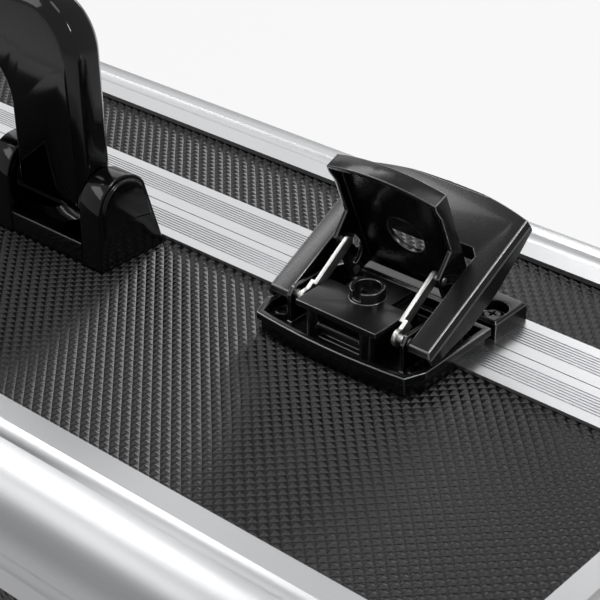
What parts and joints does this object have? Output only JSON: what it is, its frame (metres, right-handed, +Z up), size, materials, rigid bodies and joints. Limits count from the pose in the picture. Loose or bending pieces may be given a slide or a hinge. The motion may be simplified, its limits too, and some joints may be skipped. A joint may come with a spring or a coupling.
{
  "type": "mixer carrying case",
  "caption": "Hinged hard case for a desk mixer: textured panels in aluminium edges, two key latches and a folding handle.",
  "frame": {"origin": "centre of the bounding box in X and Y, at the underside of the feet it stands on", "axes": "+X along the case, +Y from the base half to the lid half, +Z up to the carrying face with the handle and latches"},
  "size_m": [0.5912, 0.2018, 0.514],
  "materials": {
    "panel": "black laminate moulded in a fine pyramid grain",
    "edge_bar": "clear anodised, drawn along the bar",
    "corner_cap": "satin nickel",
    "rail": "anodised, fine ribs along the rail",
    "foam": "matte grey-black foam",
    "rubber": "matte",
    "hinge": "zinc plated",
    "bracket": "satin black",
    "handle": "polished black moulding",
    "screw": "bright nickel",
    "pin": "bright nickel",
    "latch_body": "satin black powder coat",
    "link": "bright nickel strip",
    "lock_core": "nickel"
  },
  "bodies": {
    "base": {"base_front_panel": "panel", "base_rear_panel": "panel", "base_left_panel": "panel", "base_right_panel": "panel", "base_bottom_panel": "panel", "base_edge_front": "edge_bar", "base_edge_rear": "edge_bar", "base_edge_left": "edge_bar", "base_edge_right": "edge_bar", "base_corner_posts": "edge_bar", "base_corner_caps": "corner_cap", "base_rails": "rail", "base_foam": "foam", "rear_feet": "rubber", "bottom_feet": "rubber", "hinge_base_leaf_left": "hinge", "hinge_base_leaf_right": "hinge", "hinge_pin_left": "hinge", "hinge_pin_right": "hinge", "handle_bracket_left": "bracket", "handle_bracket_right": "bracket", "bracket_screws": "screw", "handle_pins": "pin", "latch_tray_left": "latch_body", "latch_tray_right": "latch_body", "latch_pins_left": "pin", "latch_pins_right": "pin", "lock_plate_left": "latch_body", "lock_plate_right": "latch_body", "latch_tray_screws": "screw"},
    "lid": {"lid_front_panel": "panel", "lid_rear_panel": "panel", "lid_left_panel": "panel", "lid_right_panel": "panel", "lid_top_panel": "panel", "lid_edge_front": "edge_bar", "lid_edge_rear": "edge_bar", "lid_edge_left": "edge_bar", "lid_edge_right": "edge_bar", "lid_corner_posts": "edge_bar", "lid_corner_caps": "corner_cap", "lid_rails": "rail", "lid_foam": "foam", "lid_feet": "rubber", "hinge_lid_leaf_left": "hinge", "hinge_lid_leaf_right": "hinge", "latch_strike_left": "latch_body", "latch_strike_right": "latch_body", "latch_strike_screws": "screw"},
    "handle": {"handle": "handle"},
    "flap_left": {"latch_flap_left": "latch_body"},
    "frame_left": {"latch_frame_left": "latch_body"},
    "links_left": {"latch_links_left": "link"},
    "core_left": {"lock_core_left": "lock_core"},
    "flap_right": {"latch_flap_right": "latch_body"},
    "frame_right": {"latch_frame_right": "latch_body"},
    "links_right": {"latch_links_right": "link"},
    "core_right": {"lock_core_right": "lock_core"}
  },
  "joints": [
    {"name": "lid_hinge", "type": "hinge", "parent": "base", "child": "lid", "pos_m": [0, 0.03095, 0.0058], "axis": [-1, 0, 0], "range_deg": [0, 100]},
    {"name": "handle_fold", "type": "hinge", "parent": "base", "child": "handle", "pos_m": [0, 0.00345, 0.4552], "axis": [1, 0, 0], "range_deg": [0, 90]},
    {"name": "flap_turn_left", "type": "hinge", "parent": "base", "child": "flap_left", "pos_m": [-0.174, 0.02845, 0.4477], "axis": [1, 0, 0], "range_deg": [0, 69]},
    {"name": "frame_turn_left", "type": "hinge", "parent": "base", "child": "frame_left", "pos_m": [-0.174, 0.01645, 0.4495], "axis": [-1, 0, 0], "range_deg": [0, 27.11]},
    {"name": "links_turn_left", "type": "hinge", "parent": "base", "child": "links_left", "pos_m": [-0.174, 0.00715, 0.4495], "axis": [-1, 0, 0], "range_deg": [0, 36.01]},
    {"name": "key_turn_left", "type": "hinge", "parent": "base", "child": "core_left", "pos_m": [-0.174, 0.01355, 0.45], "axis": [0, 0, -1], "range_deg": [0, 90]},
    {"name": "flap_turn_right", "type": "hinge", "parent": "base", "child": "flap_right", "pos_m": [0.174, 0.02845, 0.4477], "axis": [1, 0, 0], "range_deg": [0, 69]},
    {"name": "frame_turn_right", "type": "hinge", "parent": "base", "child": "frame_right", "pos_m": [0.174, 0.01645, 0.4495], "axis": [-1, 0, 0], "range_deg": [0, 27.11]},
    {"name": "links_turn_right", "type": "hinge", "parent": "base", "child": "links_right", "pos_m": [0.174, 0.00715, 0.4495], "axis": [-1, 0, 0], "range_deg": [0, 36.01]},
    {"name": "key_turn_right", "type": "hinge", "parent": "base", "child": "core_right", "pos_m": [0.174, 0.01355, 0.45], "axis": [0, 0, -1], "range_deg": [0, 90]}
  ],
  "couplings": [
    {"joint": "frame_turn_left", "follows": "flap_turn_left", "ratio": 0.39275},
    {"joint": "links_turn_left", "follows": "flap_turn_left", "ratio": 0.52174},
    {"joint": "frame_turn_right", "follows": "flap_turn_right", "ratio": 0.39275},
    {"joint": "links_turn_right", "follows": "flap_turn_right", "ratio": 0.52174}
  ]
}
